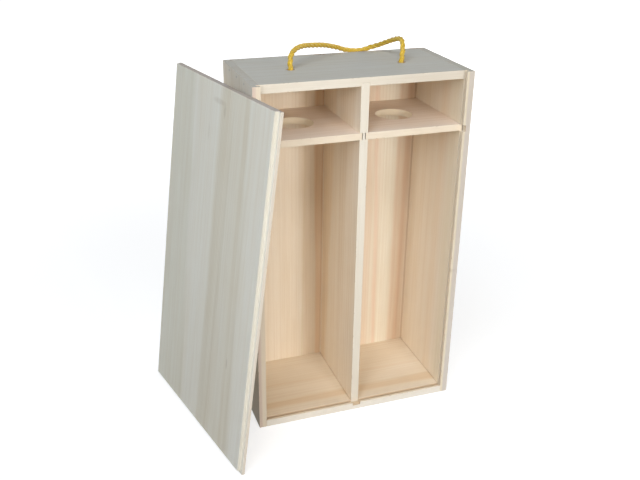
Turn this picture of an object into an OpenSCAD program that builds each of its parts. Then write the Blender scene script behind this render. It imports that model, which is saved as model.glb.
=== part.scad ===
// Wooden wine box for two bottles, standing upright with its front open.
// The sliding lid is off and leans against the left front corner; a rope handle lies over the top.
// X runs across the box, Y from the front to the back, and Z up. The origin is the middle of the foot.

/* [Box] */
// Width over the side boards
box_w = 210; // [175:1:320]
// Depth from the front edges of the side boards to the back
box_d = 108; // [90:1:160]
// Height from the foot to the top
box_h = 350; // [285:1:450]

/* [Boards] */
// Thickness of the side boards
side_t = 7.5; // [6:0.5:12]
// Thickness of the top board
top_t = 8; // [6:0.5:12]
// Thickness of the bottom board
bottom_t = 7.5; // [6:0.5:12]
// Thickness of the back board
back_t = 4; // [3:0.5:6]
// Thickness of the divider
divider_t = 8; // [6.5:0.5:12]
// Thickness of the neck rests
rest_t = 6.5; // [4:0.5:12]

/* [Joinery] */
// Depth of the housings that hold the divider and the neck rests
housing_deep = 3; // [1.5:0.5:3]
// Gap between the end of a neck rest and the floor of its housing
housing_end_gap = 0.8; // [0:0.1:1]
// Width of the rebates in the side boards that the back board lies in
rebate_w = 4; // [2:0.5:5]
// Play between each long edge of the back board and its rebate
back_play = 0.25; // [0:0.05:1]

/* [Lid] */
// Where the lid is drawn: leaning beside the box, or closed in its grooves
lid_place = "leaning"; // [leaning, closed]
// Thickness of the lid
lid_t = 6.5; // [5:0.5:10]
// Thickness of the lip in front of the lid groove
lip_t = 2.5; // [2:0.5:4]
// Width of the lid groove
groove_w = 3.5; // [2.5:0.5:4.5]
// Depth of the lid groove
groove_deep = 3; // [2:0.5:4]
// Play of the tongue between the faces of the groove, on each side
lid_face_play = 0.25; // [0.1:0.05:0.5]
// Play between the edge of the tongue and the floor of the groove
lid_side_play = 0.5; // [0.2:0.1:1]
// Gap between the raised field and the lips
lid_field_gap = 1; // [0.5:0.1:2]
// How far the closed lid stops below the top of the box
lid_top_drop = 0.5; // [0:0.1:3]
// Turn of the leaning lid away from the front of the box, in degrees
lid_turn = 77; // [60:1:88]
// How far the foot of the leaning lid stands out from where its top touches
lid_foot_out = 45; // [25:1:80]
// Distance along the lid's top from its near edge to the corner that it leans on
lid_touch = 54; // [20:1:100]
// Gap left at the corner that the lid leans on
lid_lean_gap = 0.3; // [0.1:0.1:1]

/* [Neck rests] */
// Distance from the top of the box down to the upper face of the neck rests
rest_drop = 51; // [35:1:90]
// Diameter of the neck holes
neck_d = 36; // [28:1:44]

/* [Rope handle] */
// Diameter of the rope
rope_d = 5; // [4:0.5:6]
// Play between the rope and its hole, all round
rope_play = 1.5; // [0.5:0.25:2]
// Diameter of the knots under the top board
knot_d = 13; // [11:0.5:16]
// Height of the knots
knot_h = 11; // [8:0.5:14]

/* [Brads] */
// Diameter of the brad's shank
brad_d = 1.2; // [1:0.1:1.6]
// Diameter of the brad's head
brad_head_d = 2; // [1.8:0.1:2.6]
// Thickness of the brad's head
brad_head_t = 0.6; // [0.4:0.1:1]
// How far the head stands proud of the board
brad_proud = 0.15; // [0.1:0.05:0.3]
// Length of the brads through the sides
side_brad_l = 22; // [16:1:30]
// Length of the brads through the back
back_brad_l = 16; // [12:1:22]
// Distance from the edges of a board to its outermost brads
brad_inset = 22; // [15:1:30]

/* [Hidden] */

// Smoothness of the round holes and the knots
hole_sides = 96;
knot_sides = 48;
brad_sides = 24;
// Margin by which a cutter runs past the face that it opens
past = 1;

// Planes of the box
front_y = -box_d / 2;
rear_y = box_d / 2;
inner_w = box_w - 2 * side_t;
set_back_y = front_y + lip_t + groove_w;
back_y = rear_y - back_t;
top_under_z = box_h - top_t;
rest_top_z = box_h - rest_drop;
rest_low_z = rest_top_z - rest_t;
bay_w = (inner_w - divider_t) / 2;
bay_x = (divider_t + bay_w) / 2;
rest_mid_y = (set_back_y + back_y) / 2;

// The lid: its tongue is what is left of its thickness beside the raised field
tongue_t = groove_w - 2 * lid_face_play;
tongue_w = groove_deep - lid_side_play + lid_field_gap;
lid_w = inner_w + 2 * (groove_deep - lid_side_play);
lid_foot_z = bottom_t - groove_deep;
lid_h = box_h - lid_top_drop - lid_foot_z;
lid_back_y = set_back_y - lid_face_play;
lid_lean = asin(lid_foot_out / lid_h);

// The rope's route: X and Y in the box's frame, and Z above the top of the box.
// It leaves the left hole, lies over the rear edge, and goes down into the right hole.
rope_route = [
    [-55, -1, -top_t], [-55, -1, 0], [-55, 0, 7], [-53, 3, 12], [-48, 9, 15],
    [-41, 16, 16], [-33, 23, 15.5], [-24, 30, 14], [-15, 36, 12.5], [-6, 42.5, 10.5],
    [2, 48, 8], [10, 53, 5.5], [18, 56.5, 2.5], [28, 57.5, 0.5], [38, 57.5, 0.5],
    [46, 56, 3], [52, 49, 6.5], [56, 39, 11], [58.5, 29, 15], [60, 19, 18],
    [59.5, 10, 18], [57.5, 3, 13.5], [56, 0, 7], [55, -1, 0], [55, -1, -top_t]
];
rope_sides = 10;
rope_hole_d = rope_d + 2 * rope_play;
rope_ends = [rope_route[0], rope_route[len(rope_route) - 1]];

// Brads stand in rows: along the ends of the cross boards, up the sides and up the divider
side_brad_y = [set_back_y + brad_inset, rest_mid_y, back_y - brad_inset];
cross_brad_z = [bottom_t / 2, box_h - top_t / 2];
back_brad_side_x = inner_w / 2 + rebate_w / 2;
back_brad_z = [for (share = [0.12, 0.37, 0.62, 0.88]) share * box_h];
divider_brad_z = [for (share = [0.25, 0.5, 0.75]) share * box_h];

wood = [0.87, 0.79, 0.66];
wood_pale = [0.84, 0.80, 0.72];
wood_edge = [0.93, 0.86, 0.74];
rope_yellow = [0.86, 0.62, 0.12];
steel = [0.72, 0.72, 0.74];

// Outline of a side board seen from above, for the left board with its outer face at x = 0
function side_outline() = [
    [0, front_y], [side_t, front_y], [side_t, front_y + lip_t],
    [side_t - groove_deep, front_y + lip_t], [side_t - groove_deep, set_back_y],
    [side_t, set_back_y], [side_t, back_y], [side_t - rebate_w, back_y],
    [side_t - rebate_w, rear_y], [0, rear_y]
];

// Outline of the bottom board seen from the side: lip, lid groove and floor
function bottom_outline() = [
    [front_y, 0], [back_y, 0], [back_y, bottom_t], [set_back_y, bottom_t],
    [set_back_y, bottom_t - groove_deep], [front_y + lip_t, bottom_t - groove_deep],
    [front_y + lip_t, bottom_t], [front_y, bottom_t]
];

// A cutter that houses a board of thickness t and runs through the whole depth of the box
module housing(x, z, w, t) {
    translate([x, front_y - past, z])
        cube([w, box_d + 2 * past, t]);
}

// Left side board; the right one is its mirror image
module side_board() {
    difference() {
        translate([-box_w / 2, 0, 0])
            linear_extrude(box_h)
                polygon(side_outline());
        housing(-inner_w / 2 - housing_deep, rest_low_z, housing_deep + past, rest_t);
    }
}

module side_left() {
    color(wood) side_board();
}

module side_right() {
    color(wood) mirror([1, 0, 0]) side_board();
}

module top_panel() {
    color(wood_pale)
        difference() {
            translate([-inner_w / 2, set_back_y, top_under_z])
                cube([inner_w, back_y - set_back_y, top_t]);
            housing(-divider_t / 2, top_under_z - past, divider_t, housing_deep + past);
            for (end = rope_ends)
                translate([end.x, end.y, top_under_z - past])
                    cylinder(d = rope_hole_d, h = top_t + 2 * past, $fn = hole_sides);
        }
}

module bottom_panel() {
    color(wood)
        difference() {
            translate([-inner_w / 2, 0, 0])
                rotate([90, 0, 90])
                    linear_extrude(inner_w)
                        polygon(bottom_outline());
            housing(-divider_t / 2, bottom_t - housing_deep, divider_t, housing_deep + past);
        }
}

// The back board covers the rear edges of the top, the bottom, the divider and the neck rests
module back_panel() {
    w = inner_w + 2 * (rebate_w - back_play);
    color(wood_edge)
        translate([-w / 2, back_y, 0])
            cube([w, back_t, box_h]);
}

module divider() {
    low_z = bottom_t - housing_deep;
    high_z = top_under_z + housing_deep;
    color(wood_edge)
        difference() {
            translate([-divider_t / 2, set_back_y, low_z])
                cube([divider_t, back_y - set_back_y, high_z - low_z]);
            for (side = [-1, 1])
                translate([side * divider_t / 2, 0, 0])
                    housing(-housing_deep, rest_low_z, 2 * housing_deep, rest_t);
        }
}

// Neck rest of the bay on one side: -1 for the left, 1 for the right
module neck_rest(side) {
    w = bay_w + 2 * (housing_deep - housing_end_gap);
    translate([side * bay_x, 0, 0])
        difference() {
            translate([-w / 2, set_back_y, rest_low_z])
                cube([w, back_y - set_back_y, rest_t]);
            translate([0, rest_mid_y, rest_low_z - past])
                cylinder(d = neck_d, h = rest_t + 2 * past, $fn = hole_sides);
        }
}

module neck_rest_left() {
    color(wood) neck_rest(-1);
}

module neck_rest_right() {
    color(wood) neck_rest(1);
}

// The lid by itself: its back face at y = 0, its foot at z = 0 and its middle at x = 0.
// The field stands forward of the tongues along both long edges and the foot.
module lid_board() {
    translate([-lid_w / 2, -tongue_t, 0])
        cube([lid_w, tongue_t, lid_h]);
    translate([-lid_w / 2 + tongue_w, -lid_t, tongue_w])
        cube([lid_w - 2 * tongue_w, lid_t, lid_h - tongue_w]);
}

// Puts the lid's upper back edge beside the left front corner of the box, with its foot on the floor
module lean() {
    towards = [sin(lid_turn), cos(lid_turn), 0];
    corner = [-box_w / 2, front_y, 0] - lid_lean_gap * towards;
    translate(corner)
        rotate([0, 0, -lid_turn])
            translate([lid_touch - lid_w / 2, -lid_foot_out, 0])
                rotate([-lid_lean, 0, 0])
                    children();
}

module lid() {
    color(wood_pale)
        if (lid_place == "closed")
            translate([0, lid_back_y, lid_foot_z]) lid_board();
        else
            lean() lid_board();
}

function unit(v) = v / norm(v);

// Direction of the route at point i: straight up out of one hole, and straight down into the other
function heading(route, i) =
    i == 0 || i == len(route) - 1
    ? [0, 0, i == 0 ? 1 : -1]
    : unit(route[i + 1] - route[i - 1]);

// The part of v that is square to the direction t
function square_to(v, t) = unit(v - (v * t) * t);

// A round tube along a route, with a ring of sides at each point, turned as little as possible
module tube(route, d, sides) {
    n = len(route);
    across = [
        for (i = 0, a = [1, 0, 0]; i < n; i = i + 1, a = i < n ? square_to(a, heading(route, i)) : a) a
    ];
    rings = [
        for (i = [0 : n - 1], k = [0 : sides - 1])
            let (up = cross(heading(route, i), across[i]), turn = 360 * k / sides)
                route[i] + d / 2 * (cos(turn) * across[i] + sin(turn) * up)
    ];
    walls = [
        for (i = [0 : n - 2], k = [0 : sides - 1])
            let (a = i * sides + k, b = i * sides + (k + 1) % sides)
                each [[a, a + sides, b + sides], [a, b + sides, b]]
    ];
    first = [for (k = [0 : sides - 1]) k];
    last = [for (k = [sides - 1 : -1 : 0]) (n - 1) * sides + k];
    polyhedron(rings, concat(walls, [first], [last]));
}

module rope_handle() {
    color(rope_yellow)
        translate([0, 0, box_h])
            tube(rope_route, rope_d, rope_sides);
}

// A drawn-up knot: two rounded turns of the rope and its short cut end
module knot(end) {
    turn_r = knot_h / 4;
    turns = [-turn_r, -3 * turn_r];
    translate([end.x, end.y, top_under_z]) {
        for (z = turns)
            translate([0, 0, z])
                rotate_extrude($fn = knot_sides) {
                    translate([knot_d / 2 - turn_r, 0])
                        circle(r = turn_r, $fn = knot_sides);
                    translate([0, -turn_r])
                        square([knot_d / 2 - turn_r, 2 * turn_r]);
                }
        translate([0, 0, -knot_h - 1.5])
            cylinder(d = rope_d, h = knot_h, $fn = knot_sides);
    }
}

module rope_knot_left() {
    color(rope_yellow) knot(rope_ends[0]);
}

module rope_knot_right() {
    color(rope_yellow) knot(rope_ends[1]);
}

// A brad driven along +Z: its head is just proud of the face at z = 0
module brad(length) {
    translate([0, 0, -brad_proud]) {
        cylinder(d = brad_head_d, h = brad_head_t, $fn = brad_sides);
        cylinder(d = brad_d, h = length, $fn = brad_sides);
    }
}

// Brads through the left side board into the ends of the bottom and top boards
module side_brads() {
    for (y = side_brad_y, z = cross_brad_z)
        translate([-box_w / 2, y, z])
            rotate([0, 90, 0])
                brad(side_brad_l);
}

module side_brads_left() {
    color(steel) side_brads();
}

module side_brads_right() {
    color(steel) mirror([1, 0, 0]) side_brads();
}

// A brad through the back board at a place on its face
module back_brad(x, z) {
    translate([x, rear_y, z])
        rotate([90, 0, 0])
            brad(back_brad_l);
}

module back_brads() {
    color(steel) {
        for (side = [-1, 1], z = back_brad_z)
            back_brad(side * back_brad_side_x, z);
        for (side = [-1, 1], z = cross_brad_z)
            back_brad(side * bay_x, z);
        for (z = divider_brad_z)
            back_brad(0, z);
    }
}

side_left();
side_right();
top_panel();
bottom_panel();
back_panel();
divider();
neck_rest_left();
neck_rest_right();
lid();
rope_handle();
rope_knot_left();
rope_knot_right();
side_brads_left();
side_brads_right();
back_brads();
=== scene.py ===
"""Looks of a wooden wine box for two bottles, with its loose lid, rope handle and brads."""
import math

import bpy
import numpy as np
from mathutils import Euler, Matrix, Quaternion, Vector


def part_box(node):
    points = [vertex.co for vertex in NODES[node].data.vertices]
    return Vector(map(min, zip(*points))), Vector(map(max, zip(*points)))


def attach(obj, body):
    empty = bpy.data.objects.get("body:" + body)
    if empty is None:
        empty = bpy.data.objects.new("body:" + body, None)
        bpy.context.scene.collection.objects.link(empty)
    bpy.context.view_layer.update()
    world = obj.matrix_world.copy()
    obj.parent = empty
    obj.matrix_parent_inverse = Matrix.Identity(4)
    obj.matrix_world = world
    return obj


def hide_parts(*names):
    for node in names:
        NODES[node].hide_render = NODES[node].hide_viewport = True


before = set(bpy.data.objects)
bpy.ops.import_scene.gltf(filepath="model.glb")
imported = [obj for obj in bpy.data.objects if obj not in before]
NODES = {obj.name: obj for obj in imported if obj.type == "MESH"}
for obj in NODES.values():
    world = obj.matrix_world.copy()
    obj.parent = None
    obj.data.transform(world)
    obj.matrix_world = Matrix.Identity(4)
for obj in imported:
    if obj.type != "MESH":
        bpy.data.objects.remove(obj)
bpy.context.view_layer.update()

MM = 0.001
X, Y, Z = Vector((1, 0, 0)), Vector((0, 1, 0)), Vector((0, 0, 1))

# Camera, from a fit to the corners of the box and the lid: its places in metres, its roll in radians, and its
# lens and sensor in millimetres
CAMERA_PLACE = Vector((-0.27615, -0.71265, 0.5238))
CAMERA_TARGET = Vector((-0.00522, 0.05299, 0.14858))
CAMERA_ROLL = 0.01364
CAMERA_LENS = 46.39
SENSOR_WIDTH = 36.0

# Rope: its route in metres, with Z above the top of the box
BOX_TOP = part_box("side_left")[1].z
TOP_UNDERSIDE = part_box("top_panel")[0].z
TOP_THICKNESS = BOX_TOP - TOP_UNDERSIDE
ROPE_ROUTE = [
    (-0.055, -0.001, -TOP_THICKNESS), (-0.055, -0.001, 0), (-0.055, 0, 0.007), (-0.053, 0.003, 0.012),
    (-0.048, 0.009, 0.015), (-0.041, 0.016, 0.016), (-0.033, 0.023, 0.0155), (-0.024, 0.030, 0.014),
    (-0.015, 0.036, 0.0125), (-0.006, 0.0425, 0.0105), (0.002, 0.048, 0.008), (0.010, 0.053, 0.0055),
    (0.018, 0.0565, 0.0025), (0.028, 0.0575, 0.0005), (0.038, 0.0575, 0.0005), (0.046, 0.056, 0.003),
    (0.052, 0.049, 0.0065), (0.056, 0.039, 0.011), (0.0585, 0.029, 0.015), (0.060, 0.019, 0.018),
    (0.0595, 0.010, 0.018), (0.0575, 0.003, 0.0135), (0.056, 0, 0.007), (0.055, -0.001, 0),
    (0.055, -0.001, -TOP_THICKNESS),
]

# The make of the rope, in metres: three strands round a core, with one turn of the strands in each lay.
# The core is a share of the rope's radius, and the strands press into each other by a little.
ROPE_D = 0.005
ROPE_STRANDS = 3
ROPE_LAY = 0.019
ROPE_STEP = 0.0007
CORE_SHARE = 0.80
STRAND_PRESS = 1.04
STRAND_SIDES = 16
SPAN_SAMPLES = 24

# Knots, in metres: the rope in them is drawn tight, and its cut end is frayed
KNOT_ROPE_D = 0.0039
KNOT_STEP = 0.0005
KNOT_THINNING = 3
KNOT_GAP = 0.0002
KNOT_ENTERS = 0.002
KNOT_TURNS = (math.radians(75), math.radians(110))
FRAY_LENGTH = 0.003
FRAY_SPREAD = 0.6

# The tying of the knot, in diameters of its rope: a chain of beads, the first of which are the straight rope
# above the knot, how far it is pulled and pushed in each step, and the shares of the steps after which the
# tail goes sideways and the chain has its final length
KNOT_BEADS = 84
ENTRY_BEADS = KNOT_BEADS // 8
KNOT_LENGTH = 15.0
KNOT_BEND = 0.6
KNOT_CUT = 2.3
KNOT_STEPS = 320
KNOT_ROUNDS = 5
KNOT_PULL = 0.023
KNOT_PUSH = 0.5
KNOT_STIFFNESS = 0.06
LOOSE_KNOT_REACH = 2.32
LOOSE_KNOT_POINTS = 400
TAIL_TURNS_AT = 0.3
SHORTENED_AT = 0.7

# How the lid stands, as in the construction: its turn, its lean, which comes from its length and from how far
# its foot stands out, both in millimetres, and the place of its foot in metres
LID_TURN = math.radians(-77)
LID_LENGTH = 345
LID_FOOT_OUT = 45
LID_LEAN = -math.asin(LID_FOOT_OUT / LID_LENGTH)
LID_PLACE = Vector((-0.159487, -0.019369, 0))
LID_TURNED = Euler((LID_LEAN, 0, LID_TURN), "XYZ").to_matrix()


def link_object(name, data):
    made = bpy.data.objects.new(name, data)
    bpy.context.scene.collection.objects.link(made)
    return made


def make_camera():
    data = bpy.data.cameras.new("camera")
    data.lens = CAMERA_LENS
    data.sensor_width = SENSOR_WIDTH
    camera = link_object("camera", data)
    look = (CAMERA_TARGET - CAMERA_PLACE).to_track_quat("-Z", "Y")
    camera.rotation_mode = "QUATERNION"
    camera.rotation_quaternion = look @ Quaternion((0, 0, 1), CAMERA_ROLL)
    camera.location = CAMERA_PLACE
    bpy.context.scene.camera = camera


def distances(line):
    """How far along a line each of its points lies."""
    return np.concatenate([[0], np.cumsum(np.linalg.norm(np.diff(line, axis=0), axis=1))])


def respaced(line, step):
    """The same line with its points evenly spaced, about a step apart."""
    along = distances(line)
    even = np.linspace(0, along[-1], max(2, round(along[-1] / step) + 1))
    return np.stack([np.interp(even, along, line[:, k]) for k in range(3)], axis=1)


def smooth_path(points, step):
    """A smooth curve through the points, as evenly spaced places about a step apart."""
    p = np.array(points, float)
    p = np.vstack([2 * p[0] - p[1], p, 2 * p[-1] - p[-2]])
    t = np.linspace(0, 1, SPAN_SAMPLES, endpoint=False)[:, None]
    runs = [
        0.5 * (2 * b + (c - a) * t + (2 * a - 5 * b + 4 * c - d) * t**2 + (3 * b - a - 3 * c + d) * t**3)
        for a, b, c, d in zip(p[:-3], p[1:-2], p[2:-1], p[3:])
    ]
    return respaced(np.vstack([*runs, p[-2:-1]]), step)


def frames_along(line):
    """Two directions across a line at each of its points, turned as little as possible. The direction that
    they start from is any that doesn't lie along the line."""
    ahead = np.gradient(line, axis=0)
    ahead /= np.linalg.norm(ahead, axis=1)[:, None]
    side = np.cross(ahead[0], (0.3, 1.0, 0.2))
    sides = []
    for direction in ahead:
        side = side - direction * (side @ direction)
        side = side / np.linalg.norm(side)
        sides.append(side)
    sides = np.array(sides)
    return sides, np.cross(ahead, sides)


def sweep(line, radius, shift=0):
    """Vertices, faces and UVs of a closed tube along a line. UVs are length and angle, and shift is the
    number of vertices that the mesh has before these."""
    across, up = frames_along(line)
    turn = np.linspace(0, 2 * math.pi, STRAND_SIDES, endpoint=False)
    ring = np.cos(turn)[None, :, None] * across[:, None] + np.sin(turn)[None, :, None] * up[:, None]
    vertices = (line[:, None] + radius * ring).reshape(-1, 3)
    along = distances(line)
    faces, uvs = [], []
    for i in range(len(line) - 1):
        start, end = along[i], along[i + 1]
        for k in range(STRAND_SIDES):
            a = shift + i * STRAND_SIDES + k
            b = shift + i * STRAND_SIDES + (k + 1) % STRAND_SIDES
            low, high = k / STRAND_SIDES, (k + 1) / STRAND_SIDES
            faces.append([a, b, b + STRAND_SIDES, a + STRAND_SIDES])
            uvs.append([(start, low), (start, high), (end, high), (end, low)])
    last = shift + (len(line) - 1) * STRAND_SIDES
    faces.append([shift + k for k in reversed(range(STRAND_SIDES))])
    uvs.append([(0, k / STRAND_SIDES) for k in reversed(range(STRAND_SIDES))])
    faces.append([last + k for k in range(STRAND_SIDES)])
    uvs.append([(along[-1], k / STRAND_SIDES) for k in range(STRAND_SIDES)])
    return vertices, faces, uvs


def mesh_object(name, vertices, faces, uvs):
    """A mesh whose four-sided faces are smooth, with its UVs in the layer yarn."""
    mesh = bpy.data.meshes.new(name)
    mesh.from_pydata([tuple(v) for v in vertices], [], faces)
    layer = mesh.uv_layers.new(name="yarn")
    layer.data.foreach_set("uv", np.array([c for face in uvs for c in face], np.float32).ravel())
    mesh.polygons.foreach_set("use_smooth", [len(f) == 4 for f in faces])
    mesh.update()
    return link_object(name, mesh)


def twisted_rope(name, line, rope_d, frayed=False):
    """A laid rope of strands round a core, along a line, in one mesh. A frayed one opens at its end."""
    radius = rope_d / 2
    strand_r = radius / (1 + 2 / math.sqrt(3))
    across, up = frames_along(line)
    along = distances(line)
    opened = np.zeros(len(line))
    if frayed:
        opened = np.clip(1 - (along[-1] - along) / FRAY_LENGTH, 0, 1) ** 2
    centre_r = (radius - strand_r) * (1 + FRAY_SPREAD * opened)
    core, faces, uvs = sweep(line, radius * CORE_SHARE)
    vertices = [core]
    count = len(core)
    for strand in range(ROPE_STRANDS):
        turn = 2 * math.pi * (along / (ROPE_LAY * rope_d / ROPE_D) + strand / ROPE_STRANDS)
        ring = np.cos(turn)[:, None] * across + np.sin(turn)[:, None] * up
        middle = line + centre_r[:, None] * ring
        strand_vertices, strand_faces, strand_uvs = sweep(middle, strand_r * STRAND_PRESS, count)
        vertices.append(strand_vertices)
        faces += strand_faces
        uvs += strand_uvs
        count += len(strand_vertices)
    return mesh_object(name, np.vstack(vertices), faces, uvs)


def loose_knot():
    """A chain of beads that lies in a wide overhand knot, by the formula of a trefoil with open ends."""
    t = np.linspace(LOOSE_KNOT_REACH, -LOOSE_KNOT_REACH, LOOSE_KNOT_POINTS)
    line = np.stack([t**3 - 3 * t, (t**5 - 10 * t) / 6, t**4 - 4 * t**2], axis=1)
    return respaced(line, distances(line)[-1] / (KNOT_BEADS - 1))


def least_distances(gap):
    """How near each two beads may come: a rope diameter, or what a tight bend of the rope brings them to."""
    order = np.arange(KNOT_BEADS)
    apart = np.abs(np.subtract.outer(order, order))
    bent = np.minimum(apart * gap / (2 * KNOT_BEND), math.pi / 2)
    return np.where(apart >= 2, np.minimum(1, 2 * KNOT_BEND * np.sin(bent)), 0)


def pull_ends(p, tail_turns):
    """Pulls the first bead up and the last one down, or sideways and up once the tail turns."""
    up = p[0] - p[KNOT_BEADS // 2]
    up /= np.linalg.norm(up)
    away = p[-1] - p[KNOT_BEADS // 2]
    away -= up * (away @ up)
    tail = away / np.linalg.norm(away) + 2 * up if tail_turns else -up
    p[0] += up * KNOT_PULL
    p[-1] += tail / np.linalg.norm(tail) * KNOT_PULL


def push_apart(p, least):
    """Moves beads that are too near away from each other, and straightens the chain a little."""
    offset = p[:, None] - p[None]
    distance = np.linalg.norm(offset, axis=2) + 1e-9
    short = np.maximum(least - distance, 0)
    touching = np.clip((short > 0).sum(1), 1, 3)[:, None]
    p += (offset * (short / distance)[..., None]).sum(1) * KNOT_PUSH / touching
    p[1:-1] += KNOT_STIFFNESS * ((p[:-2] + p[2:]) / 2 - p[1:-1])


def even_links(p, gap):
    """Brings the links between beads to one length, every other one first and then the rest."""
    for start in (0, 1):
        b = p[start + 1::2]
        a = p[start:-1:2][:len(b)]
        link = b - a
        size = np.linalg.norm(link, axis=1)[:, None]
        a += link * 0.5 * (1 - gap / size)
        b -= link * 0.5 * (1 - gap / size)


def tied_knot():
    """The middle line of a tight overhand knot, in rope diameters: the rope comes down along Z to the origin,
    ties and ends in a short tail. It is a chain of beads that starts as a loose knot and is then shortened
    and pulled at both ends, while no two parts of it come nearer than a diameter."""
    p = loose_knot()
    first = float(np.linalg.norm(p[1] - p[0]))
    last = KNOT_LENGTH / (KNOT_BEADS - 1)
    for step in range(KNOT_STEPS):
        gap = first + (last - first) * min(1, step / (SHORTENED_AT * KNOT_STEPS))
        least = least_distances(gap)
        pull_ends(p, tail_turns=step > TAIL_TURNS_AT * KNOT_STEPS)
        for _ in range(KNOT_ROUNDS):
            push_apart(p, least)
            even_links(p, gap)
    origin = p[ENTRY_BEADS]
    up = (p[0] - origin) / np.linalg.norm(p[0] - origin)
    side = np.cross(up, p[-1] - origin)
    side /= np.linalg.norm(side)
    p = (p - origin) @ np.array([np.cross(side, up), side, up]).T
    p = respaced(p[ENTRY_BEADS:], last)
    return p[:len(p) - round(KNOT_CUT / last)]


def make_knot(name, line, x, y, turn):
    """One knot under the top, on the rope that comes down through the hole at x, y. Its crown is the highest
    place of the knot, past the straight rope that is the first fifth of the line."""
    line = line * KNOT_ROPE_D
    crown = line[round(len(line) / 5):, 2].max() + KNOT_ROPE_D / 2
    c, s = math.cos(turn), math.sin(turn)
    line = line @ np.array([(c, s, 0), (-s, c, 0), (0, 0, 1)])
    line += (x, y, TOP_UNDERSIDE - crown - KNOT_GAP)
    above = np.array([(x, y, TOP_UNDERSIDE + KNOT_ENTERS)])
    line = smooth_path(np.vstack([above, line[2::KNOT_THINNING]]), KNOT_STEP)
    knot = twisted_rope(name, line, KNOT_ROPE_D, frayed=True)
    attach(knot, "box")
    return knot


def make_rope():
    route = [(x, y, z + BOX_TOP) for x, y, z in ROPE_ROUTE]
    line = smooth_path(route, ROPE_STEP)
    rope = twisted_rope("rope", line, ROPE_D)
    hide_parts("rope_handle")
    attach(rope, "box")
    middle = tied_knot()
    left = make_knot("knot_left", middle, route[0][0], route[0][1], KNOT_TURNS[0])
    right = make_knot("knot_right", middle, route[-1][0], route[-1][1], KNOT_TURNS[1])
    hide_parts("rope_knot_left")
    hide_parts("rope_knot_right")
    return [rope, left, right]


make_camera()
ropes = make_rope()


class Nodes:
    """A short way to write a material's nodes: a call adds a node, links its inputs and returns an output."""

    def __init__(self, name):
        self.material = bpy.data.materials.new(name)
        self.material.use_nodes = True
        self.tree = self.material.node_tree
        self.tree.nodes.clear()

    def put(self, socket, value):
        if isinstance(value, bpy.types.NodeSocket):
            self.tree.links.new(value, socket)
        else:
            socket.default_value = value

    def add(self, kind, inputs=(), **settings):
        node = self.tree.nodes.new("ShaderNode" + kind)
        for key, value in settings.items():
            setattr(node, key, value)
        for key, value in dict(inputs).items():
            self.put(node.inputs[key], value)
        return node

    def math(self, operation, a, b=0.0):
        return self.add("Math", {0: a, 1: b}, operation=operation).outputs[0]

    def plus(self, a, b):
        return self.math("ADD", a, b)

    def minus(self, a, b):
        return self.math("SUBTRACT", a, b)

    def times(self, a, b):
        return self.math("MULTIPLY", a, b)

    def length(self, a, b):
        return self.math("SQRT", self.plus(self.times(a, a), self.times(b, b)))

    def ramp(self, value, low, high, to_low=0.0, to_high=1.0):
        """value smoothly mapped from low..high to to_low..to_high."""
        inputs = {"Value": value, 1: low, 2: high, 3: to_low, 4: to_high}
        return self.add("MapRange", inputs, interpolation_type="SMOOTHSTEP").outputs[0]

    def inside_ramp(self, value, low, high):
        """1 below low and 0 above high."""
        return self.ramp(value, low, high, 1.0, 0.0)

    def mix(self, share, a, b, blend="MIX"):
        node = self.add("Mix", data_type="RGBA", blend_type=blend)
        self.put(node.inputs["Factor"], share)
        self.put(node.inputs[6], a)
        self.put(node.inputs[7], b)
        return node.outputs[2]

    def tint(self, share, tone, by):
        """The tone multiplied by a colour, to a share from 0 to 1."""
        return self.mix(share, tone, (*by, 1.0), "MULTIPLY")

    def noise(self, vector, scale=1.0, detail=2.0, roughness=0.5):
        inputs = {"Vector": vector, "Scale": scale, "Detail": detail, "Roughness": roughness}
        return self.add("TexNoise", inputs).outputs["Fac"]

    def coordinates(self, output):
        return self.add("TexCoord").outputs[output]

    def combine(self, x, y, z):
        return self.add("CombineXYZ", {0: x, 1: y, 2: z}).outputs[0]

    def scaled(self, vector, factors):
        return self.add("VectorMath", {0: vector, 1: factors}, operation="MULTIPLY").outputs[0]

    def dot(self, vector, direction):
        return self.add("VectorMath", {0: vector, 1: direction}, operation="DOT_PRODUCT").outputs["Value"]

    def finish(self, **sockets):
        shader = self.add("BsdfPrincipled", {k.replace("_", " "): v for k, v in sockets.items()})
        self.show(shader)
        return self.material

    def show(self, shader):
        self.add("OutputMaterial", {"Surface": shader.outputs[0]})


def colour(r, g, b):
    """A colour written as an sRGB colour of 0 to 255, in the linear values that shaders take."""
    def linear(v):
        v /= 255
        return v / 12.92 if v <= 0.04045 else ((v + 0.055) / 1.055) ** 2.4
    return (linear(r), linear(g), linear(b), 1.0)


# Wood tones of a board's faces: inside, outside, narrow long edges and end grain. The inside tone is warmer
# and lighter than the outside, partly painted light for the warm light bounced round inside the box. cut is
# the walls and floors of its grooves, housings and holes, in most boards a darker tone that paints shade into
# them, and step is such a floor that lies along the board's face
TONES = {
    "inner": colour(249, 238, 221), "outer": colour(234, 230, 220), "edge": colour(236, 230, 217),
    "end": colour(205, 202, 194), "cut": colour(212, 191, 164),
}
# The top's outer face is darker and greyer than the other outsides, partly painted shade of a top that gets
# less light
TOP_OUTER = colour(204, 202, 194)
TOP_EDGE = colour(233, 226, 212)
BOTTOM_INNER = colour(244, 231, 211)
BOTTOM_EDGE = colour(247, 242, 233)
BOTTOM_CUT = colour(228, 208, 181)
REST_INNER = colour(246, 230, 216)
REST_EDGE = colour(239, 226, 206)
HOLE_CUT = colour(236, 222, 198)
DIVIDER_CUT = colour(251, 244, 232)
SIDE_CUT = colour(240, 229, 214)
LEFT_EDGE = colour(222, 204, 191)
LEFT_EDGE_INNER = colour(237, 226, 208)
RIGHT_EDGE = colour(221, 214, 208)
RIGHT_EDGE_INNER = colour(241, 231, 210)
LID_OUTER = colour(243, 241, 231)
LID_EDGE = colour(227, 219, 206)
LID_CUT = colour(222, 220, 208)
LID_STEP = colour(245, 241, 230)
LID_END = colour(200, 191, 185)
WORN_EDGE = colour(238, 228, 208)

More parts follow.
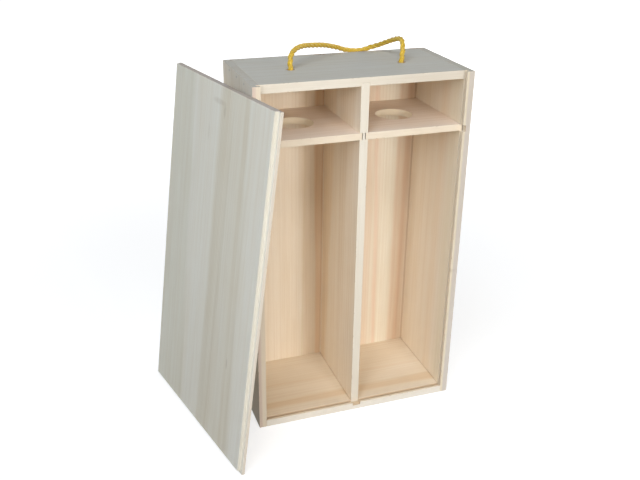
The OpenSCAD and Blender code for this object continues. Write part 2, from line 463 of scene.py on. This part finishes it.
# What darkens the wood, as colours that multiply its tone
LATEWOOD = (0.80, 0.70, 0.60)
WARM_BAND = (0.93, 0.88, 0.80)
FIBRE = (0.80, 0.72, 0.63)
# The pore colour also paints the shade in the corners where boards meet
PORE_AND_CORNER_SHADE = (0.66, 0.55, 0.44)
DIRT = (0.62, 0.56, 0.50)

# How much a face looks along an axis, and how near it lies to the board's outside in millimetres, before it
# counts as facing that way and as outermost
FACING = (0.5, 0.85)
FACING_OUT = (0.5, 0.8)
OUTERMOST = (0.5, 0.9)

# Where the wood of each board is cut from: the shift per unit of its seed, across, through and along
SEED_SHIFT = (91, 37, 53)

# Slow waves of the grain: how fine they are per millimetre, and how many millimetres wide they are for what
# follows the grain. Each board has a width of its own for its growth rings.
SWAY_SCALE = (0.022, 0.022, 0.0045)
STREAK_SWAY = 5.0
PIN_SWAY = 6.0
MARK_SWAY = 4.0

# Growth rings: their shift per unit of the seed, how unevenly they lie, and in which part of each ring it
# darkens and stops. How strong a ring is comes from a noise.
RING_SHIFT = 3.3
RING_UNEVEN_SCALE = 0.37
RING_UNEVEN = 1.7
RING_DARKENS = (0.15, 0.90)
RING_STOPS = (0.90, 1.0)
RING_STRENGTH_SCALE = 0.83
RING_STRENGTH = (0.3, 0.7, 0.1, 1.0)

# Broad bands of tone: how fine they are across and along, per millimetre, and the noise at which they show
BAND_ACROSS = 0.021
BAND_ALONG = 0.0016
BAND_SHOWS = (0.38, 0.62)

# The other layers of the figure: how fine each is across, through and along the board, per millimetre, its
# detail and roughness, and the noise at which it starts to show, at which it shows in full and how much it
# shows at least
LAYERS = {
    "drift": ((0.11, 0.11, 0.008), 3.0, 0.6, (0.34, 0.66, 0.0)),
    "line": ((0.38, 0.38, 0.0040), 3.0, 0.62, (0.42, 0.66, 0.0)),
    "hair": ((1.3, 1.3, 0.009), 2.0, 0.7, (0.52, 0.70, 0.0)),
    "fibre": ((2.4, 2.4, 0.045), 3.0, 0.65, (0.3, 0.7, 0.0)),
    "pore": ((3.6, 3.6, 0.16), 1.0, 0.5, (0.66, 0.76, 0.0)),
    "blotch": ((0.05, 0.05, 0.02), 2.0, 0.5, (0.3, 0.7, 0.0)),
    "wear": ((0.12, 0.12, 0.09), 3.0, 0.6, (0.35, 0.65, 0.15)),
    "dent": ((0.5, 0.5, 0.3), 1.0, 0.5, (0.63, 0.70, 0.0)),
}

# How strongly each layer darkens the wood, what end grain adds to that, and how much the figure of small
# faces is calmed
STRENGTH = {
    "band": 0.26, "drift": 0.20, "hair": 0.12, "fibre": 0.13, "pore": 0.10, "blotch": 0.18, "pins": 0.26,
}
END_LATEWOOD = 0.15
END_PORES = 0.10
SMALL_CALM = 0.7

# How ragged a streak's border is, and how fine that is across and along, per millimetre
RAGGED = 1.6
RAGGED_ACROSS = 0.06
RAGGED_ALONG = 0.017

# Fine even lines: how many millimetres apart they are, and from where to where in its wave a line shows
PIN_SPACING = 2.7
PIN_SHOWS = (0.0, 0.9)

# How far out of the middle of a mark, as a share of its size, it starts to fade and is gone
MARK_FADES = (0.3, 1.0)

# Painted shade and dust in the corners where two boards meet: how far from the middle of the box the corners
# beside the sides and beside the divider are, from where to where the painted shade fades, all in
# millimetres, and its strength
SIDE_CORNER = 97
DIVIDER_CORNER = 4.5
CORNER_SHADE_FADES = (0.2, 1.6)
CORNER_SHADE_STRENGTH = 0.45

# Edges that hands and sanding have worn: how far in millimetres, and how pale and how dirty in their dents
WEAR_REACH = 1.3
WEAR_STRENGTH = 0.30
DENT_STRENGTH = 0.45

# Relief: how deep each layer is, the ripples that a planer leaves across the grain in millimetres, and where
# the blotches let them show
RELIEF = {"late": 0.35, "fibre": 0.7, "ripple": 0.10, "pore": 0.9, "dent": 2.0}
RELIEF_STRENGTH = 0.30
RELIEF_DEPTH = 0.0002
RIPPLE_LENGTH = 2.6
RIPPLE_SHOWS = (0.3, 0.8)

# How rough the wood is, what its fibres and its end grain add, and how much it shines
ROUGHNESS = 0.52
FIBRE_ROUGHNESS = 0.14
END_ROUGHNESS = 0.18
SHINE = 0.30


class Board:
    """Where a board lies: directions across its face, through its thickness and along its grain, from a
    place. outside is the direction of its outside face, or None."""

    def __init__(self, node, across, through, along, outside=None, place=Vector((0, 0, 0))):
        self.node = node
        self.across = across
        self.through = through
        self.along = along
        self.outside = outside
        self.place = place
        points = np.array([v.co for v in NODES[node].data.vertices]) - np.array(place)
        self.reach = []
        for axis in (across, through, along):
            lengths = points @ np.array(axis) / MM
            self.reach.append((float(lengths.min()), float(lengths.max())))


class WoodNodes(Nodes):
    """The nodes of one board's wood, with the places in the board in millimetres: u across its face, w
    through its thickness and v along its grain. point is where in the tree the board's figure comes from."""

    def __init__(self, board, seed):
        super().__init__(board.node + "_wood")
        self.board = board
        self.seed = seed
        self.normal = self.coordinates("Normal")
        inputs = {0: self.coordinates("Object"), 1: board.place}
        place = self.add("VectorMath", inputs, operation="SUBTRACT").outputs[0]
        in_mm = self.scaled(place, (1 / MM, 1 / MM, 1 / MM))
        self.u = self.dot(in_mm, board.across)
        self.w = self.dot(in_mm, board.through)
        self.v = self.dot(in_mm, board.along)
        places = zip((self.u, self.w, self.v), SEED_SHIFT)
        self.point = self.combine(*(self.plus(value, seed * shift) for value, shift in places))
        self.sway = self.minus(self.noise(self.scaled(self.point, SWAY_SCALE)), 0.5)

    def layer(self, name):
        scale, detail, roughness, shows = LAYERS[name]
        return self.ramp(self.noise(self.scaled(self.point, scale), 1.0, detail, roughness), *shows)


def growth_rings(n, pith, slope, ring, wave):
    """The growth rings that the board was cut through: each darkens slowly to its latewood line and stops."""
    across = n.plus(n.minus(n.u, pith[0]), n.times(n.sway, wave))
    depth = n.plus(n.minus(n.w, pith[1]), n.times(n.v, slope))
    rings = n.plus(n.times(n.length(across, depth), 1 / ring), n.seed * RING_SHIFT)
    uneven = n.noise(n.combine(rings, n.seed, 0.0), RING_UNEVEN_SCALE, 1.0)
    rings = n.plus(rings, n.times(uneven, RING_UNEVEN))
    phase = n.math("FRACT", rings)
    late = n.times(n.ramp(phase, *RING_DARKENS), n.inside_ramp(phase, *RING_STOPS))
    strength = n.noise(n.combine(n.math("FLOOR", rings), n.seed, 3.0), RING_STRENGTH_SCALE, 0.0)
    return n.times(late, n.ramp(strength, *RING_STRENGTH))


def broad_bands(n):
    """Bands of tone along the grain, some centimetres wide."""
    along = n.plus(n.times(n.v, BAND_ALONG), n.seed)
    place = n.combine(n.times(n.u, BAND_ACROSS), n.times(n.w, BAND_ACROSS), along)
    return n.ramp(n.noise(place), *BAND_SHOWS)


def nearest_side(n, value, reach):
    """How far a place lies from the nearer of a board's two sides."""
    return n.math("MINIMUM", n.minus(value, reach[0]), n.minus(reach[1], value))


def two_toned_edge(n, tones):
    """The edge's tone, which in some boards goes over into another one near the inside face."""
    if "edge_inner" not in tones:
        return tones["edge"]
    inner = n.board.reach[1][0 if n.board.outside == n.board.through else 1]
    depth = n.math("ABSOLUTE", n.minus(n.w, inner))
    return n.mix(n.ramp(depth, *tones["edge_split"]), tones["edge_inner"], tones["edge"])


def face_tone(n, tones):
    """The tone of the face that is being coloured, 1 where that face is an end, and 1 where it is small.
    Faces that aren't outermost in the board have the cut or the step tone."""
    board = n.board
    facing, outermost = [], []
    for axis, value, reach in zip((board.across, board.through, board.along), (n.u, n.w, n.v), board.reach):
        facing.append(n.ramp(n.math("ABSOLUTE", n.dot(n.normal, axis)), *FACING))
        outermost.append(n.inside_ramp(nearest_side(n, value, reach), *OUTERMOST))
    narrow, _, end = facing
    tone = tones["inner"]
    if board.outside:
        tone = n.mix(n.ramp(n.dot(n.normal, board.outside), *FACING_OUT), tone, tones["outer"])
    tone = n.mix(narrow, tone, two_toned_edge(n, tones))
    tone = n.mix(end, tone, tones["end"])
    small = narrow
    for direction, cut in ((1, tones.get("step", tones["cut"])), (0, tones["cut"]), (2, tones["cut"])):
        share = n.times(facing[direction], n.minus(1.0, outermost[direction]))
        tone = n.mix(share, tone, cut)
        small = n.math("MAXIMUM", small, share)
    return tone, n.times(end, outermost[2]), small


def tint_figure(n, tone, late, layers, end, small, contrast, lines):
    """Growth rings, bands, lines, fibres, pores and blotches."""
    calm = n.minus(1.0, n.times(small, SMALL_CALM))
    tints = [
        (n.times(broad_bands(n), STRENGTH["band"]), WARM_BAND),
        (n.times(layers["drift"], STRENGTH["drift"]), WARM_BAND),
        (n.times(n.times(late, calm), n.plus(contrast, n.times(end, END_LATEWOOD))), LATEWOOD),
        (n.times(n.times(layers["line"], calm), lines), FIBRE),
        (n.times(layers["hair"], STRENGTH["hair"]), FIBRE),
        (n.times(layers["fibre"], STRENGTH["fibre"]), FIBRE),
        (n.times(layers["pore"], n.plus(STRENGTH["pore"], n.times(end, END_PORES))), PORE_AND_CORNER_SHADE),
        (n.times(layers["blotch"], STRENGTH["blotch"]), WARM_BAND),
    ]
    for share, by in tints:
        tone = n.tint(share, tone, by)
    return tone


def streak_share(n, streak):
    """1 inside a long streak along the grain, 0 outside it. A streak has its middle at the low and at the
    high end of the board, its half width at both, and how soft its border is."""
    low_u, high_u, low_half, high_half, soft = streak
    low, high = n.board.reach[2]
    up = n.times(n.minus(n.v, low), 1 / (high - low))
    middle = n.plus(low_u, n.times(up, high_u - low_u))
    half = n.plus(low_half, n.times(up, high_half - low_half))
    ragged = n.noise(n.combine(n.times(n.u, RAGGED_ACROSS), n.times(n.v, RAGGED_ALONG), low_u))
    off = n.math("ABSOLUTE", n.plus(n.minus(n.u, middle), n.times(n.sway, STREAK_SWAY)))
    off = n.plus(off, n.times(n.minus(ragged, 0.5), RAGGED * soft))
    return n.inside_ramp(n.minus(off, half), -soft, soft)


def tint_streaks(n, tone, streaks, outside_share):
    """Streaks are (streak, tint, strength). On the outside face they show to a share."""
    shown = 1.0
    if n.board.outside:
        shown = n.ramp(n.dot(n.normal, n.board.outside), *FACING_OUT, 1.0, outside_share)
    for streak, by, strength in streaks:
        tone = n.tint(n.times(n.times(streak_share(n, streak), strength), shown), tone, by)
    return tone


def tint_pins(n, tone, streak):
    """Fine even lines along the grain, inside a streak."""
    even = n.math("SINE", n.times(n.plus(n.u, n.times(n.sway, PIN_SWAY)), 2 * math.pi / PIN_SPACING))
    even = n.times(n.ramp(even, *PIN_SHOWS), streak_share(n, streak))
    return n.tint(n.times(even, STRENGTH["pins"]), tone, FIBRE)


def tint_marks(n, tone, marks):
    """Dark marks, each as (across, along, half width, half length, strength)."""
    for mark_u, mark_v, half_u, half_v, strength in marks:
        off_u = n.times(n.minus(n.plus(n.u, n.times(n.sway, MARK_SWAY)), mark_u), 1 / half_u)
        off_v = n.times(n.minus(n.v, mark_v), 1 / half_v)
        share = n.inside_ramp(n.length(off_u, off_v), *MARK_FADES)
        tone = n.tint(n.times(share, strength), tone, DIRT)
    return tone


def tint_corner_shade(n, tone, small, seams):
    """Painted shade and dust where another board meets the inside face, each as ("u" or "v", place)."""
    inside = 1.0
    if n.board.outside:
        inside = n.inside_ramp(n.dot(n.normal, n.board.outside), *FACING_OUT)
    inside = n.times(inside, n.minus(1.0, small))
    for axis, place in seams:
        off = n.math("ABSOLUTE", n.minus(n.u if axis == "u" else n.v, place))
        # painted shade with dust along each corner
        tone = n.tint(n.times(n.ramp(off, *CORNER_SHADE_FADES, CORNER_SHADE_STRENGTH, 0.0), inside), tone, PORE_AND_CORNER_SHADE)
    return tone


def edge_nearness(n):
    """1 on the sharp edges of a board, 0 from the reach of the wear. The distance from an edge is the second
    of the three distances from the board's sides, by size."""
    a, b, c = (nearest_side(n, value, reach) for value, reach in zip((n.u, n.w, n.v), n.board.reach))
    least = n.math("MINIMUM", a, b)
    second = n.math("MAXIMUM", least, n.math("MINIMUM", n.math("MAXIMUM", a, b), c))
    return n.inside_ramp(second, 0.0, WEAR_REACH)


def wear_edges(n, tone, layers, end):
    """Edges that hands and sanding have worn pale, with small dents. Returns the tone and the dents."""
    near_edge = edge_nearness(n)
    worn = n.times(n.times(near_edge, layers["wear"]), n.minus(1.0, end))
    tone = n.mix(n.times(worn, WEAR_STRENGTH), tone, WORN_EDGE)
    dent = n.times(layers["dent"], near_edge)
    return n.tint(n.times(dent, DENT_STRENGTH), tone, DIRT), dent


def relief(n, late, layers, dent):
    ripple = n.math("SINE", n.times(n.v, 2 * math.pi / RIPPLE_LENGTH))
    ripple = n.times(ripple, n.ramp(layers["blotch"], *RIPPLE_SHOWS))
    height = n.plus(n.times(late, RELIEF["late"]), n.times(layers["fibre"], RELIEF["fibre"]))
    height = n.plus(height, n.times(ripple, RELIEF["ripple"]))
    height = n.minus(height, n.times(layers["pore"], RELIEF["pore"]))
    height = n.minus(height, n.times(dent, RELIEF["dent"]))
    return n.add("Bump", {"Height": height, "Strength": RELIEF_STRENGTH, "Distance": RELIEF_DEPTH}).outputs[0]


def wood(
    board, seed, pith, slope=0.01, ring=5.0, wave=8.0, contrast=0.2, lines=0.22, streaks=(),
    streaks_outside=1.0, pins=None, marks=(), seams=(), **tones,
):
    """Pale, close, straight wood. pith is where the middle of the tree lies across and through the board,
    slope how the rings run out of its face, ring how wide they are and wave how far they sway, in
    millimetres. contrast and lines are the strength of the latewood and of the lines, and pins is a streak
    with fine even lines. tones replace some of TONES, and may add step, edge_inner and edge_split."""
    n = WoodNodes(board, seed)
    late = growth_rings(n, pith, slope, ring, wave)
    layers = {name: n.layer(name) for name in LAYERS}
    tone, end, small = face_tone(n, {**TONES, **tones})
    tone = tint_figure(n, tone, late, layers, end, small, contrast, lines)
    tone = tint_streaks(n, tone, streaks, streaks_outside)
    if pins:
        tone = tint_pins(n, tone, pins)
    tone = tint_marks(n, tone, marks)
    tone = tint_corner_shade(n, tone, small, seams)
    tone, dent = wear_edges(n, tone, layers, end)
    rough = n.plus(n.times(layers["fibre"], FIBRE_ROUGHNESS), ROUGHNESS)
    rough = n.plus(rough, n.times(end, END_ROUGHNESS))
    bump = relief(n, late, layers, dent)
    return n.finish(Base_Color=tone, Roughness=rough, Normal=bump, Specular_IOR_Level=SHINE)


# Soft edges of the boards: how wide the break is, the angle from which an edge is sharp, and how near points
# are made one. Lengths are in metres.
EDGE_BREAK = 0.00025
EDGE_ANGLE = math.radians(40)
WELD_DISTANCE = 0.00001


def dress(node, material):
    data = NODES[node].data
    data.materials.clear()
    data.materials.append(material)


def soften(node):
    """Breaks the sharp edges of a board a little, as sanding does."""
    piece = NODES[node]
    weld = piece.modifiers.new("weld", "WELD")
    weld.merge_threshold = WELD_DISTANCE
    bevel = piece.modifiers.new("soft_edges", "BEVEL")
    bevel.width = EDGE_BREAK
    bevel.segments = 2
    bevel.limit_method = "ANGLE"
    bevel.angle_limit = EDGE_ANGLE
    bevel.harden_normals = True


def dress_board(board, seed, pith, **figure):
    dress(board.node, wood(board, seed, pith, **figure))
    soften(board.node)


def dress_sides():
    """The right side has a warmer middle, a greyer front and a small dark mark on its front edge."""
    left = Board("side_left", Y, X, Z, outside=-X)
    dress_board(
        left, 1.3, (160, -90), slope=0.03, ring=4.5,
        edge=LEFT_EDGE, edge_inner=LEFT_EDGE_INNER, edge_split=(3.2, 6.0), cut=SIDE_CUT,
    )
    right = Board("side_right", Y, X, Z, outside=X)
    warm_middle = ((-16, -14, 8, 4, 6), (0.97, 0.89, 0.80), 0.4)
    grey_front = ((-42, -38, 8, 15, 8), (0.955, 0.97, 0.93), 0.75)
    small_mark = (-52.6, 147, 1.6, 4, 0.5)
    grey_edge = (-54, 350, 4, 330, 0.25)
    dress_board(
        right, 2.1, (-190, 70), ring=6.0, contrast=0.08, lines=0.12,
        streaks=[warm_middle, grey_front], marks=[small_mark, grey_edge],
        edge=RIGHT_EDGE, edge_inner=RIGHT_EDGE_INNER, edge_split=(1.2, 3.2), cut=SIDE_CUT,
    )


def dress_top():
    """The front edge is duller towards its right end."""
    top = Board("top_panel", Y, Z, X, outside=Z)
    front = top.reach[0][0]
    duller_right = (front, SIDE_CORNER, 4, 110, 0.25)
    dress_board(
        top, 3.7, (220, 120), ring=4.2, contrast=0.12, marks=[duller_right], outer=TOP_OUTER, edge=TOP_EDGE,
    )


def dress_bottom():
    """The bottom has a dark band near its front and a line in its middle, and painted shade with dust in the
    corners beside the sides and the divider."""
    bottom = Board("bottom_panel", Y, Z, X, outside=-Z)
    corners = (-SIDE_CORNER, -DIVIDER_CORNER, DIVIDER_CORNER, SIDE_CORNER)
    dark_front = ((-31, -31, 5, 6, 3), (0.90, 0.80, 0.68), 0.75)
    dark_line = ((2, 0, 1.5, 1.5, 2), (0.90, 0.80, 0.70), 0.35)
    dress_board(
        bottom, 4.9, (-230, -60), ring=4.2, wave=4.0, contrast=0.11, lines=0.16,
        # seams paint shade with dust into the corners beside the sides and the divider
        streaks=[dark_front, dark_line], seams=[("v", x) for x in corners],
        inner=BOTTOM_INNER, edge=BOTTOM_EDGE, cut=BOTTOM_CUT,
    )


def dress_neck_rests():
    for name, seed, pith in (("neck_rest_left", 7.8, (150, 120)), ("neck_rest_right", 8.5, (-160, 90))):
        dress_board(
            Board(name, Y, Z, X), seed, pith, ring=4.0, contrast=0.12,
            inner=REST_INNER, edge=REST_EDGE, cut=HOLE_CUT,
        )


def dress_back():
    """The right bay has a reddish streak in its corner, partly heartwood and partly painted shade of the
    right side, and the left bay a warm band beside the divider, partly painted shade of the divider, with a
    line of painted shade in the corner.
    """
    back = Board("back_panel", X, Y, Z, outside=Y)
    streaks = [
        # The first two streaks are the reddish heartwood in the right bay's corner; the broad first one is
        # also painted shade of the right side
        ((89, 92, 10, 13, 2.5), (0.94, 0.84, 0.77), 0.80),
        ((88, 92, 2.6, 3.4, 2.5), (0.89, 0.72, 0.60), 0.50),
        ((70, 70, 6.5, 7.5, 3), (1.02, 1.07, 1.09), 0.8),
        ((61.5, 53, 2.0, 2.4, 1.8), (0.97, 0.85, 0.80), 0.70),
        ((44, 44, 8, 8, 3), (0.99, 0.91, 0.87), 0.60),
        # These two are the warm band beside the divider, partly painted shade of the divider
        ((-7.5, -9.5, 2.5, 5.8, 1.4), (0.93, 0.75, 0.58), 0.66),
        ((-16, -19, 8, 11, 4), (0.94, 0.87, 0.79), 0.75),
        # A dark line of painted shade in the corner against the divider
        ((-5.2, -5.2, 0.8, 1.0, 0.8), (0.80, 0.64, 0.48), 0.50),
        ((-26, -22.5, 0.9, 0.9, 1.0), (0.88, 0.86, 0.74), 0.5),
    ]
    dress_board(
        back, 5.2, (-230, 60), ring=3.6, wave=5.0, contrast=0.14, lines=0.20,
        # seams paint shade with dust into the corners beside the sides
        streaks=streaks, streaks_outside=0.25, seams=[("u", -SIDE_CORNER), ("u", SIDE_CORNER)],
    )


def dress_divider():
    divider = Board("divider", Y, X, Z)
    rear = ((40, 30, 5, 18, 5), (0.95, 0.86, 0.75), 0.6)
    dress_board(
        divider, 6.4, (150, 60), ring=4.4, contrast=0.25, lines=0.28, streaks=[rear], cut=DIVIDER_CUT,
    )


def dress_lid():
    """The lid's face is pale grey with a greener band on the left, a browner one right of the middle with
    fine even lines in it, and a faint grey mark near the top."""
    across, through, along = (LID_TURNED @ axis for axis in (X, Y, Z))
    lid = Board("lid", across, through, along, outside=-through, place=LID_PLACE)
    streaks = [
        ((-67, -78, 33, 24, 5), (0.905, 0.90, 0.86), 0.85),
        ((39, 31, 35, 25, 4.5), (0.92, 0.895, 0.85), 0.75),
        ((96, 96, 16, 26, 8), (1.02, 1.025, 1.04), 0.8),
        ((22, 30, 2.2, 1.0, 2), (0.90, 0.88, 0.83), 0.45),
        ((66, 62, 3.0, 1.0, 2), (0.91, 0.89, 0.85), 0.40),
        ((-38, -40, 1.6, 0.8, 1.5), (0.92, 0.91, 0.87), 0.40),
        ((12, 11, 5, 6, 5), (0.94, 0.935, 0.91), 0.5),
        ((56, 52, 2.5, 3, 3), (0.93, 0.90, 0.85), 0.6),
    ]
    grey_mark = [(0, 330.5, 16, 3.6, 0.30), (11.8, 324, 2.8, 8, 0.30)]
    other_marks = [(-16.5, 299, 2.6, 11, 0.16), (57, 96.5, 2.2, 8, 0.35), (30, -20, 150, 230, 0.17)]
    dress_board(
        lid, 9.6, (14, 90), ring=4.6, wave=6.0, contrast=0.10, lines=0.15,
        streaks=streaks, pins=(19, 14, 11, 13, 5), marks=grey_mark + other_marks,
        outer=LID_OUTER, edge=LID_EDGE, cut=LID_CUT, step=LID_STEP, end=LID_END,
    )


# Yarn: its tones, with a darker tone that paints shade into the gaps between yarns, how many yarns lie round
# a strand, how much they wind per millimetre, how wide the gaps between them are, and how fine, strong and
# deep their fibres are
YARN_TONE = colour(220, 182, 46)
YARN_GAP_SHADE = colour(172, 128, 22)
YARN_FIBRE = colour(238, 208, 92)
YARN_COUNT = 7.0
YARN_WINDING = 0.32
YARN_GAP_WIDTH = 0.22
YARN_ROUNDNESS = 0.4
YARN_FIBRES_ACROSS = 3.5
YARN_FIBRES_ALONG = 0.35
YARN_FIBRE_SHOWS = (0.35, 0.7, 0.0, 0.45)
YARN_FIBRE_RELIEF = 0.4
YARN_RELIEF = 0.8
YARN_DEPTH = 0.0003

# Brads: the tones of the steel, how fine its grain is per metre, and the roughness that comes from the grain
STEEL_LIGHT = colour(214, 212, 208)
STEEL_DARK = colour(178, 174, 168)
STEEL_GRAIN = 9000.0
STEEL_ROUGHNESS = (0.3, 0.7, 0.4, 0.6)


def yarn_material():
    n = Nodes("golden_yarn")
    length, turn, _ = n.add("SeparateXYZ", {0: n.add("UVMap", uv_map="yarn").outputs[0]}).outputs
    length_mm = n.times(length, 1 / MM)
    twist = n.minus(n.times(turn, YARN_COUNT), n.times(length_mm, YARN_WINDING))
    yarns = n.math("PINGPONG", twist, 0.5)
    strewn = n.combine(n.times(twist, YARN_FIBRES_ACROSS), n.times(length_mm, YARN_FIBRES_ALONG), 0.0)
    fine = n.noise(strewn, 1.0, 3.0, 0.6)
    # The gap tone paints shade into the gaps between the yarns
    tone = n.mix(n.inside_ramp(yarns, 0.0, YARN_GAP_WIDTH), YARN_TONE, YARN_GAP_SHADE)
    tone = n.mix(n.ramp(fine, *YARN_FIBRE_SHOWS), tone, YARN_FIBRE)
    height = n.plus(n.ramp(yarns, 0.0, YARN_ROUNDNESS), n.times(fine, YARN_FIBRE_RELIEF))
    bump = n.add("Bump", {"Height": height, "Strength": YARN_RELIEF, "Distance": YARN_DEPTH}).outputs[0]
    return n.finish(
        Base_Color=tone, Roughness=0.42, Normal=bump, Specular_IOR_Level=0.45, Sheen_Weight=0.25,
        Sheen_Roughness=0.35,
    )


def brad_material():
    n = Nodes("brad_steel")
    grain = n.noise(n.coordinates("Object"), STEEL_GRAIN)
    tone = n.mix(grain, STEEL_LIGHT, STEEL_DARK)
    return n.finish(Base_Color=tone, Metallic=0.7, Roughness=n.ramp(grain, *STEEL_ROUGHNESS))


def dress_fittings():
    yarn = yarn_material()
    for piece in ropes:
        piece.data.materials.append(yarn)
    steel = brad_material()
    for name in ("side_brads_left", "side_brads_right", "back_brads"):
        dress(name, steel)


# World and floor: the light from all round, and how strongly the floor glows near the box and far from it.
# The floor's sizes are in metres.
AMBIENT = 0.05
AMBIENT_TINT = (0.94, 0.97, 1.0, 1)
WHITE = (1, 1, 1, 1)
FLOOR_RADIUS = 6.0
FLOOR_SIDES = 96
FLOOR_TONE = (0.45, 0.45, 0.45, 1)
FLOOR_GLOW = (0.72, 1.0)
FLOOR_GLOW_REACH = (0.35, 1.2)

# Soft lights: azimuth (0 is straight in front, 90 to the right) and elevation in degrees, size in metres,
# watts and tint. They stand at one distance from the place that they are aimed at.
LIGHT_TARGET = Vector((0, 0, 0.17))
LIGHT_DISTANCE = 2.2
WARM_LIGHT = (1.04, 1.0, 0.95)
PLAIN_LIGHT = (1.0, 1.0, 1.0)
COOL_LIGHT = (0.98, 1.0, 1.02)
SKY_LIGHT = (0.80, 0.98, 1.16)
LIGHTS = {
    "key": (12, 15, 0.6, 16.5, WARM_LIGHT),
    "low": (12, 5, 0.6, 3.5, WARM_LIGHT),
    "left": (-40, 25, 0.8, 13.0, PLAIN_LIGHT),
    "low_left": (-20, 15, 0.6, 2.0, PLAIN_LIGHT),
    "front_high": (-20, 50, 0.8, 9.5, PLAIN_LIGHT),
    "sky": (-60, 58, 1.2, 11.5, SKY_LIGHT),
    "right": (95, 10, 1.2, 2.0, COOL_LIGHT),
    "rear": (132, 10, 1.2, 24.0, COOL_LIGHT),
}
NOT_IN_REFLECTIONS = ("right", "rear")


def seen_share(tree):
    """1 for what the camera sees directly, or in a reflection or through glass; 0 for light on the object."""
    path = tree.nodes.new("ShaderNodeLightPath")
    share = path.outputs["Is Camera Ray"]
    for name in ("Is Glossy Ray", "Is Transmission Ray"):
        either = tree.nodes.new("ShaderNodeMath")
        either.operation = "MAXIMUM"
        tree.links.new(share, either.inputs[0])
        tree.links.new(path.outputs[name], either.inputs[1])
        share = either.outputs[0]
    return share


def background(tree, tint, strength):
    node = tree.nodes.new("ShaderNodeBackground")
    node.inputs["Color"].default_value = tint
    node.inputs["Strength"].default_value = strength
    return node


def make_world():
    world = bpy.data.worlds.new("studio")
    bpy.context.scene.world = world
    world.use_nodes = True
    tree = world.node_tree
    tree.nodes.clear()
    mix = tree.nodes.new("ShaderNodeMixShader")
    out = tree.nodes.new("ShaderNodeOutputWorld")
    tree.links.new(seen_share(tree), mix.inputs[0])
    tree.links.new(background(tree, AMBIENT_TINT, AMBIENT).outputs[0], mix.inputs[1])
    tree.links.new(background(tree, WHITE, 1.0).outputs[0], mix.inputs[2])
    tree.links.new(mix.outputs[0], out.inputs["Surface"])


def make_floor():
    bpy.ops.mesh.primitive_circle_add(
        vertices=FLOOR_SIDES, radius=FLOOR_RADIUS, fill_type="NGON", location=(0, 0, 0)
    )
    floor = bpy.context.object
    floor.name = "floor"
    n = Nodes("floor_white")
    diffuse = n.add("BsdfDiffuse", {"Color": FLOOR_TONE})
    away = n.add("VectorMath", {0: n.coordinates("Object")}, operation="LENGTH").outputs["Value"]
    strength = n.times(seen_share(n.tree), n.ramp(away, *FLOOR_GLOW_REACH, *FLOOR_GLOW))
    glow = n.add("Emission", {"Color": WHITE, "Strength": strength})
    n.show(n.add("AddShader", {0: diffuse.outputs[0], 1: glow.outputs[0]}))
    floor.data.materials.append(n.material)


def area_light(name, azimuth, elevation, size, watts, tint):
    """A round soft light aimed at the middle of the box."""
    data = bpy.data.lights.new(name, "AREA")
    data.shape = "DISK"
    data.size = size
    data.energy = watts
    data.color = tint
    light = link_object(name, data)
    a, e = math.radians(azimuth), math.radians(elevation)
    away = Vector((math.sin(a) * math.cos(e), -math.cos(a) * math.cos(e), math.sin(e)))
    light.location = LIGHT_TARGET + away * LIGHT_DISTANCE
    light.rotation_mode = "QUATERNION"
    light.rotation_quaternion = (-away).to_track_quat("-Z", "Y")
    light.visible_glossy = name not in NOT_IN_REFLECTIONS


dress_sides()
dress_top()
dress_bottom()
dress_neck_rests()
dress_back()
dress_divider()
dress_lid()
dress_fittings()
make_world()
make_floor()
for name, settings in LIGHTS.items():
    area_light(name, *settings)

bpy.context.scene.view_settings.view_transform = "Standard"
